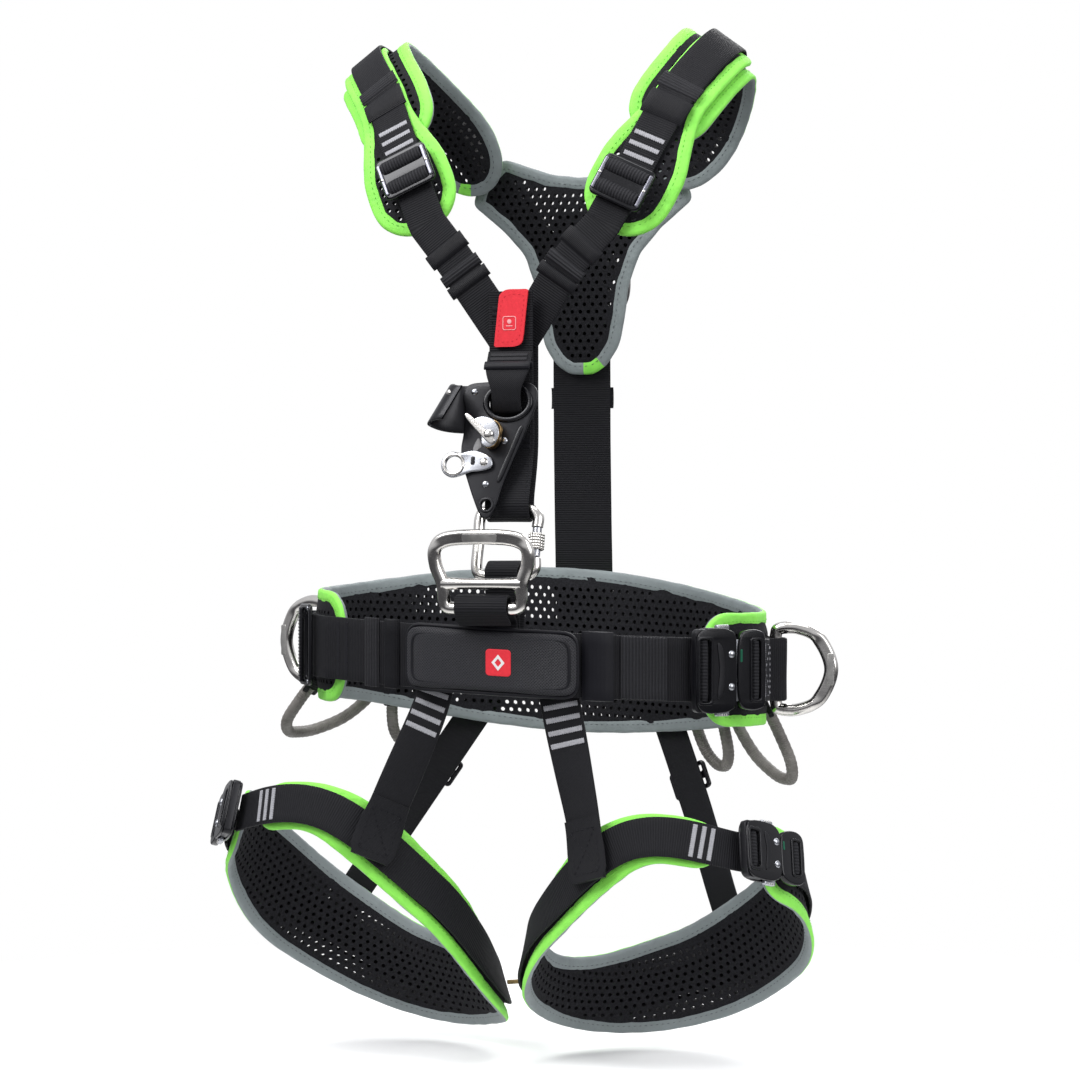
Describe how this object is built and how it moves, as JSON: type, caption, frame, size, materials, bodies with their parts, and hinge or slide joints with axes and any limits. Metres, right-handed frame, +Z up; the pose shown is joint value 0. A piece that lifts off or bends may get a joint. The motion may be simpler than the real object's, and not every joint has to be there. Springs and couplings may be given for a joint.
{
  "type": "tree climbing saddle",
  "caption": "Padded climbing saddle with a waist belt, leg loops, chest yoke with shoulder pads, attachment rings, quick buckles, gear loops and a chest rope clamp.",
  "frame": {"origin": "the back rest: the middle of the back yoke's inner face, where the pad lies on the wearer's back", "axes": "+Z up along the wearer's spine, the wearer faces -Y, the wearer's right side is at -X"},
  "size_m": [0.4481, 0.2871, 0.7377],
  "materials": {
    "webbing": "woven black polyester webbing, matt",
    "perforated_foam": "black perforated foam pad with a bound edge",
    "cover_fabric": "black mesh fabric over thin padding, piped edge",
    "polished_steel": "polished forged steel",
    "black_alloy": "black anodised alloy, satin",
    "red_fabric": "red coated fabric",
    "gear_loop_tube": "grey-brown ribbed plastic tube over cord",
    "elastic_cord": "tan braided elastic cord"
  },
  "bodies": {
    "harness": {"back_strap": "webbing", "back_yoke": "perforated_foam", "belt_pad": "perforated_foam", "chest_clamp_webbing": "webbing", "chest_strap_left": "webbing", "chest_strap_right": "webbing", "connector_tab": "webbing", "gear_loop_front_left": "gear_loop_tube", "gear_loop_front_right": "gear_loop_tube", "gear_loop_rear_left": "gear_loop_tube", "gear_loop_rear_right": "gear_loop_tube", "leg_buckle_left_male": "black_alloy", "leg_buckle_right_male": "black_alloy", "leg_link_cord": "elastic_cord", "leg_pad_left": "perforated_foam", "leg_pad_right": "perforated_foam", "leg_riser_left": "webbing", "leg_riser_right": "webbing", "leg_strap_left": "webbing", "leg_strap_right": "webbing", "marker_tab": "red_fabric", "rear_leg_strap_left": "webbing", "rear_leg_strap_right": "webbing", "shoulder_pad_left": "perforated_foam", "shoulder_pad_right": "perforated_foam", "shoulder_strap_left": "webbing", "shoulder_strap_right": "webbing", "shoulder_wing_left": "perforated_foam", "shoulder_wing_right": "perforated_foam", "sternal_sleeve": "webbing", "ventral_ring_webbing": "webbing", "waist_buckle_male": "black_alloy", "waist_front_pad": "cover_fabric", "waist_strap_back": "webbing", "waist_strap_front": "webbing"},
    "side_ring_left": {"side_ring_left": "polished_steel"},
    "side_ring_right": {"side_ring_right": "polished_steel"},
    "dorsal_ring": {"dorsal_ring": "polished_steel"},
    "ventral_ring": {"ventral_ring": "polished_steel"},
    "connector": {"connector_body": "polished_steel"},
    "connector_gate": {"connector_gate": "polished_steel"},
    "connector_sleeve": {"connector_sleeve": "polished_steel"},
    "chest_clamp": {"chest_clamp_body": "black_alloy"},
    "chest_clamp_cam": {"chest_clamp_cam": "polished_steel"},
    "chest_clamp_catch": {"chest_clamp_catch": "polished_steel"},
    "waist_buckle": {"waist_buckle_female": "black_alloy"},
    "waist_buckle_clip_upper": {"waist_buckle_clip_upper": "black_alloy"},
    "waist_buckle_clip_lower": {"waist_buckle_clip_lower": "black_alloy"},
    "leg_buckle_left": {"leg_buckle_left_female": "black_alloy"},
    "leg_buckle_left_clip_upper": {"leg_buckle_left_clip_upper": "black_alloy"},
    "leg_buckle_left_clip_lower": {"leg_buckle_left_clip_lower": "black_alloy"},
    "leg_buckle_right": {"leg_buckle_right_female": "black_alloy"},
    "leg_buckle_right_clip_upper": {"leg_buckle_right_clip_upper": "black_alloy"},
    "leg_buckle_right_clip_lower": {"leg_buckle_right_clip_lower": "black_alloy"},
    "shoulder_buckle_left": {"shoulder_buckle_left": "black_alloy"},
    "rear_leg_adjuster_left": {"rear_leg_adjuster_left": "black_alloy"},
    "shoulder_buckle_right": {"shoulder_buckle_right": "black_alloy"},
    "rear_leg_adjuster_right": {"rear_leg_adjuster_right": "black_alloy"},
    "waist_adjuster": {"waist_adjuster_frame": "black_alloy"},
    "waist_adjuster_bar": {"waist_adjuster_bar": "polished_steel"}
  },
  "joints": [
    {"name": "side_ring_left_swing", "type": "hinge", "parent": "harness", "child": "side_ring_left", "pos_m": [-0.1747, -0.09089, -0.28136], "axis": [0, 0, 1], "range_deg": [-50, 78]},
    {"name": "side_ring_right_swing", "type": "hinge", "parent": "harness", "child": "side_ring_right", "pos_m": [0.1707, -0.09089, -0.29863], "axis": [0, 0, 1], "range_deg": [-70, 65]},
    {"name": "dorsal_ring_swing", "type": "hinge", "parent": "harness", "child": "dorsal_ring", "pos_m": [-0.002, 0.0156, 0.002], "axis": [1, 0, 0], "range_deg": [-3, 120]},
    {"name": "ventral_ring_swing", "type": "hinge", "parent": "harness", "child": "ventral_ring", "pos_m": [-0.002, -0.249, -0.253], "axis": [1, 0, 0], "range_deg": [-8, 60]},
    {"name": "connector_swing", "type": "hinge", "parent": "harness", "child": "connector", "pos_m": [0.005, -0.207, -0.184], "axis": [1, 0, 0], "range_deg": [-5, 5]},
    {"name": "connector_gate_swing", "type": "hinge", "parent": "connector", "child": "connector_gate", "pos_m": [0.026, -0.21542, -0.21768], "axis": [0, -0.9701, 0.2425], "range_deg": [-20, 0]},
    {"name": "connector_sleeve_slide", "type": "slide", "parent": "connector_gate", "child": "connector_sleeve", "axis": [0, 0.2425, 0.9701], "range_m": [-0.0035, 0.0035]},
    {"name": "chest_clamp_swing", "type": "hinge", "parent": "harness", "child": "chest_clamp", "pos_m": [0.004, -0.2045, -0.112], "axis": [1, 0, 0], "range_deg": [-6, 2]},
    {"name": "chest_clamp_cam_swing", "type": "hinge", "parent": "chest_clamp", "child": "chest_clamp_cam", "pos_m": [-0.005, -0.21438, -0.13444], "axis": [0, -0.9781, 0.2079], "range_deg": [-40, 50]},
    {"name": "chest_clamp_catch_swing", "type": "hinge", "parent": "chest_clamp", "child": "chest_clamp_catch", "pos_m": [-0.01, -0.21812, -0.15204], "axis": [0, -0.9781, 0.2079], "range_deg": [-35, 35]},
    {"name": "waist_buckle_slide", "type": "slide", "parent": "harness", "child": "waist_buckle", "axis": [-0.6884, -0.7253, 0], "range_m": [0, 0.014]},
    {"name": "waist_buckle_press_upper", "type": "slide", "parent": "waist_buckle", "child": "waist_buckle_clip_upper", "axis": [0, 0, -1], "range_m": [0, 0.0022]},
    {"name": "waist_buckle_press_lower", "type": "slide", "parent": "waist_buckle", "child": "waist_buckle_clip_lower", "axis": [0, 0, 1], "range_m": [0, 0.0022]},
    {"name": "leg_buckle_left_slide", "type": "slide", "parent": "harness", "child": "leg_buckle_left", "axis": [0.5089, -0.8173, 0.2702], "range_m": [0, 0.014]},
    {"name": "leg_buckle_left_press_upper", "type": "slide", "parent": "leg_buckle_left", "child": "leg_buckle_left_clip_upper", "axis": [-0.0824, -0.3587, -0.9298], "range_m": [0, 0.0022]},
    {"name": "leg_buckle_left_press_lower", "type": "slide", "parent": "leg_buckle_left", "child": "leg_buckle_left_clip_lower", "axis": [0.0824, 0.3587, 0.9298], "range_m": [0, 0.0022]},
    {"name": "leg_buckle_right_slide", "type": "slide", "parent": "harness", "child": "leg_buckle_right", "axis": [-0.5175, -0.8289, 0.2124], "range_m": [0, 0.014]},
    {"name": "leg_buckle_right_press_upper", "type": "slide", "parent": "leg_buckle_right", "child": "leg_buckle_right_clip_upper", "axis": [0.1178, -0.3149, -0.9418], "range_m": [0, 0.0022]},
    {"name": "leg_buckle_right_press_lower", "type": "slide", "parent": "leg_buckle_right", "child": "leg_buckle_right_clip_lower", "axis": [-0.1178, 0.3149, 0.9418], "range_m": [0, 0.0022]},
    {"name": "shoulder_buckle_left_slide", "type": "slide", "parent": "harness", "child": "shoulder_buckle_left", "axis": [-0.4027, 0.2403, 0.8832], "range_m": [-0.006, 0.01]},
    {"name": "rear_leg_adjuster_left_slide", "type": "slide", "parent": "harness", "child": "rear_leg_adjuster_left", "axis": [0.5055, 0.2643, 0.8213], "range_m": [-0.012, 0.007]},
    {"name": "shoulder_buckle_right_slide", "type": "slide", "parent": "harness", "child": "shoulder_buckle_right", "axis": [0.4195, 0.2067, 0.8839], "range_m": [-0.006, 0.01]},
    {"name": "rear_leg_adjuster_right_slide", "type": "slide", "parent": "harness", "child": "rear_leg_adjuster_right", "axis": [-0.3694, 0.2542, 0.8939], "range_m": [-0.012, 0.003]},
    {"name": "waist_adjuster_slide", "type": "slide", "parent": "harness", "child": "waist_adjuster", "axis": [0.5278, -0.8494, 0], "range_m": [-0.008, 0.01]},
    {"name": "waist_adjuster_bar_slide", "type": "slide", "parent": "waist_adjuster", "child": "waist_adjuster_bar", "axis": [0.5278, -0.8494, 0], "range_m": [-0.005, 0.005]}
  ],
  "couplings": [
    {"joint": "waist_buckle_press_lower", "follows": "waist_buckle_press_upper", "ratio": 1},
    {"joint": "leg_buckle_left_press_lower", "follows": "leg_buckle_left_press_upper", "ratio": 1},
    {"joint": "leg_buckle_right_press_lower", "follows": "leg_buckle_right_press_upper", "ratio": 1}
  ]
}
